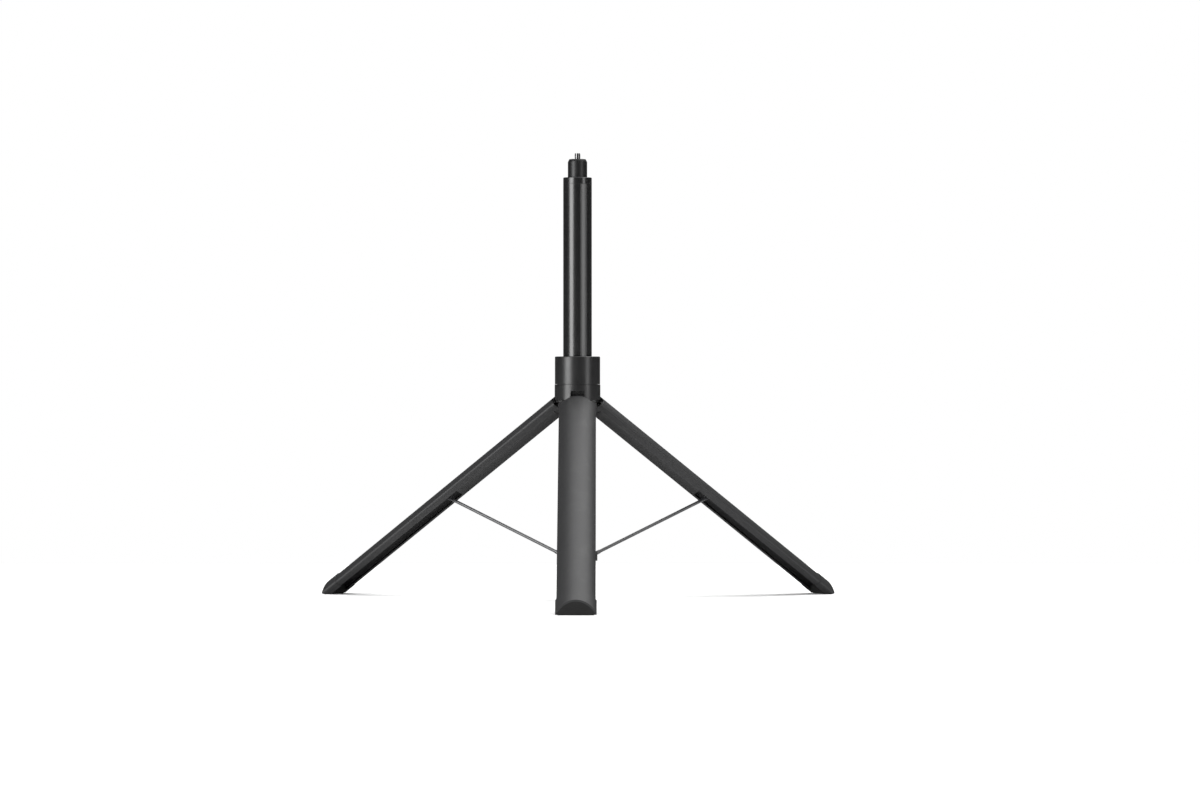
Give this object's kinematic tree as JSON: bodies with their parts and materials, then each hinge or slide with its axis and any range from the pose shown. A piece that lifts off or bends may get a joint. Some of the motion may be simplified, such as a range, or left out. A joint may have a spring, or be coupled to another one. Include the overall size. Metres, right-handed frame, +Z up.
{
  "type": "selfie stick tripod",
  "caption": "Telescopic hand-held camera pole with a screw stud on its head and a fold-out tripod base whose curved legs are held by braces.",
  "frame": {"origin": "on the floor, at the middle of the footprint's box with the legs open; the mast's axis stands 65.0 mm behind it", "axes": "+Z up along the mast; leg 1 points along -Y, legs 2 and 3 spread evenly behind it"},
  "size_m": [0.5284, 0.4576, 0.4471],
  "materials": {
    "black_tube": "black anodised, satin sheen",
    "inner_tube": "dark anodised, satin",
    "hub_plastic": "black nylon, semi-matte",
    "leg_plastic": "dark grey nylon, matte",
    "inner_plastic": "black nylon, matte",
    "bush_plastic": "natural acetal",
    "rubber": "moulded rubber, matte",
    "painted_steel": "dark painted rod",
    "pin_steel": "bright pins and screws",
    "stud_metal": "plated thread"
  },
  "bodies": {
    "hub": {"hub_yoke": "hub_plastic", "hub_neck": "hub_plastic", "hub_bush": "bush_plastic", "lock_collet": "hub_plastic", "hinge_pins": "pin_steel", "neck_screws": "pin_steel"},
    "lock_ring": {"lock_ring": "hub_plastic"},
    "leg_1": {"shell_left_1": "leg_plastic", "shell_right_1": "leg_plastic", "shell_sides_1": "leg_plastic", "hinge_block_1": "inner_plastic", "leg_liner_1": "inner_plastic", "brace_mount_1": "inner_plastic", "brace_pin_1": "pin_steel", "foot_cap_1": "leg_plastic", "foot_pad_1": "rubber"},
    "brace_1": {"brace_rod_1": "painted_steel", "brace_ends_1": "painted_steel", "spreader_pin_1": "pin_steel"},
    "leg_2": {"shell_left_2": "leg_plastic", "shell_right_2": "leg_plastic", "shell_sides_2": "leg_plastic", "hinge_block_2": "inner_plastic", "leg_liner_2": "inner_plastic", "brace_mount_2": "inner_plastic", "brace_pin_2": "pin_steel", "foot_cap_2": "leg_plastic", "foot_pad_2": "rubber"},
    "brace_2": {"brace_rod_2": "painted_steel", "brace_ends_2": "painted_steel", "spreader_pin_2": "pin_steel"},
    "leg_3": {"shell_left_3": "leg_plastic", "shell_right_3": "leg_plastic", "shell_sides_3": "leg_plastic", "hinge_block_3": "inner_plastic", "leg_liner_3": "inner_plastic", "brace_mount_3": "inner_plastic", "brace_pin_3": "pin_steel", "foot_cap_3": "leg_plastic", "foot_pad_3": "rubber"},
    "brace_3": {"brace_rod_3": "painted_steel", "brace_ends_3": "painted_steel", "spreader_pin_3": "pin_steel"},
    "mast": {"mast_tube": "black_tube", "mast_top_ring": "inner_plastic", "brace_collar": "inner_plastic", "mast_plug": "inner_plastic", "collar_screw": "pin_steel"},
    "section_2": {"tube_2": "inner_tube", "tube_2_collar": "inner_plastic", "tube_2_bush": "bush_plastic"},
    "section_3": {"tube_3": "inner_tube", "tube_3_collar": "inner_plastic", "tube_3_bush": "bush_plastic"},
    "section_4": {"tube_4": "inner_tube", "tube_4_bush": "bush_plastic", "top_head": "hub_plastic", "head_pad": "rubber", "top_stud": "stud_metal"}
  },
  "joints": [
    {"name": "leg_1_fold", "type": "hinge", "parent": "hub", "child": "leg_1", "pos_m": [0, 0.04701, 0.20229], "axis": [1, 0, 0], "range_deg": [0, 54.8]},
    {"name": "leg_2_fold", "type": "hinge", "parent": "hub", "child": "leg_2", "pos_m": [0.01559, 0.07401, 0.20229], "axis": [-0.5, 0.866, 0], "range_deg": [0, 54.8]},
    {"name": "leg_3_fold", "type": "hinge", "parent": "hub", "child": "leg_3", "pos_m": [-0.01559, 0.07401, 0.20229], "axis": [-0.5, -0.866, 0], "range_deg": [0, 54.8]},
    {"name": "brace_1_fold", "type": "hinge", "parent": "leg_1", "child": "brace_1", "pos_m": [0, -0.09313, 0.10343], "axis": [1, 0, 0], "range_deg": [-121.9, 0]},
    {"name": "brace_2_fold", "type": "hinge", "parent": "leg_2", "child": "brace_2", "pos_m": [0.13695, 0.14408, 0.10343], "axis": [-0.5, 0.866, 0], "range_deg": [-121.9, 0]},
    {"name": "brace_3_fold", "type": "hinge", "parent": "leg_3", "child": "brace_3", "pos_m": [-0.13695, 0.14408, 0.10343], "axis": [-0.5, -0.866, 0], "range_deg": [-121.9, 0]},
    {"name": "mast_slide", "type": "slide", "parent": "hub", "child": "mast", "axis": [0, 0, -1], "range_m": [0, 0.1669]},
    {"name": "section_2_slide", "type": "slide", "parent": "mast", "child": "section_2", "axis": [0, 0, 1], "range_m": [0, 0.325]},
    {"name": "section_3_slide", "type": "slide", "parent": "section_2", "child": "section_3", "axis": [0, 0, 1], "range_m": [0, 0.325]},
    {"name": "section_4_slide", "type": "slide", "parent": "section_3", "child": "section_4", "axis": [0, 0, 1], "range_m": [0, 0.325]},
    {"name": "lock_twist", "type": "hinge", "parent": "hub", "child": "lock_ring", "pos_m": [0, 0.06501, 0.23], "axis": [0, 0, 1], "range_deg": [0, 60]}
  ],
  "couplings": [
    {"joint": "leg_2_fold", "follows": "leg_1_fold", "ratio": 1},
    {"joint": "leg_3_fold", "follows": "leg_1_fold", "ratio": 1},
    {"joint": "brace_1_fold", "follows": "leg_1_fold", "ratio": -2.2244},
    {"joint": "brace_2_fold", "follows": "leg_1_fold", "ratio": -2.2244},
    {"joint": "brace_3_fold", "follows": "leg_1_fold", "ratio": -2.2244},
    {"joint": "mast_slide", "follows": "leg_1_fold", "m_per_rad": 0.1745}
  ]
}
